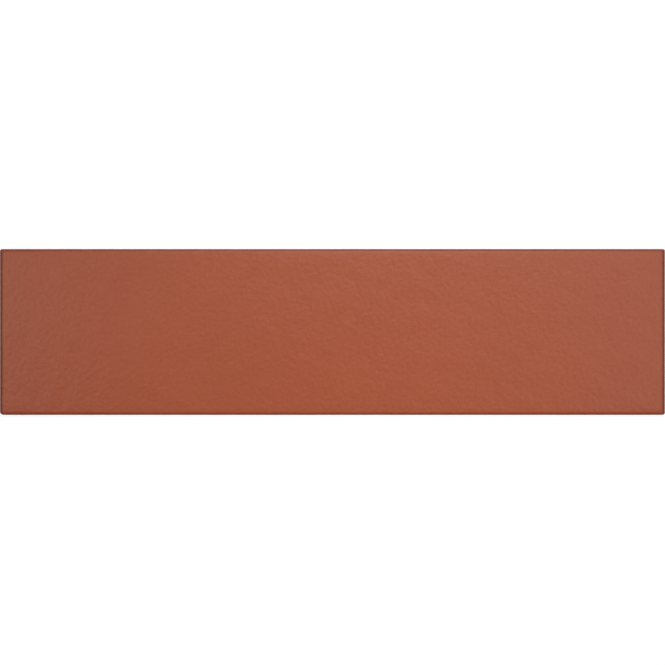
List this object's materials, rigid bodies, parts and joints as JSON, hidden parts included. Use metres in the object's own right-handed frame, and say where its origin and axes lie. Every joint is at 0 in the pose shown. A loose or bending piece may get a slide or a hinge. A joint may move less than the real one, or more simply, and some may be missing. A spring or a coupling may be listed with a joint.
{
  "type": "floor tile",
  "caption": "Long rectangular fired ceramic floor tile with a satin terracotta face, rounded pressed edges and a keyed back for bedding in adhesive.",
  "frame": {"origin": "centre of the back plane, on which the tile lies", "axes": "+X along the tile's length, +Y across its width, +Z out of the walking face"},
  "size_m": [0.368, 0.092, 0.009],
  "materials": {
    "fired_tile": "satin"
  },
  "bodies": {
    "root": {"floor_tile": "fired_tile"}
  },
  "joints": []
}
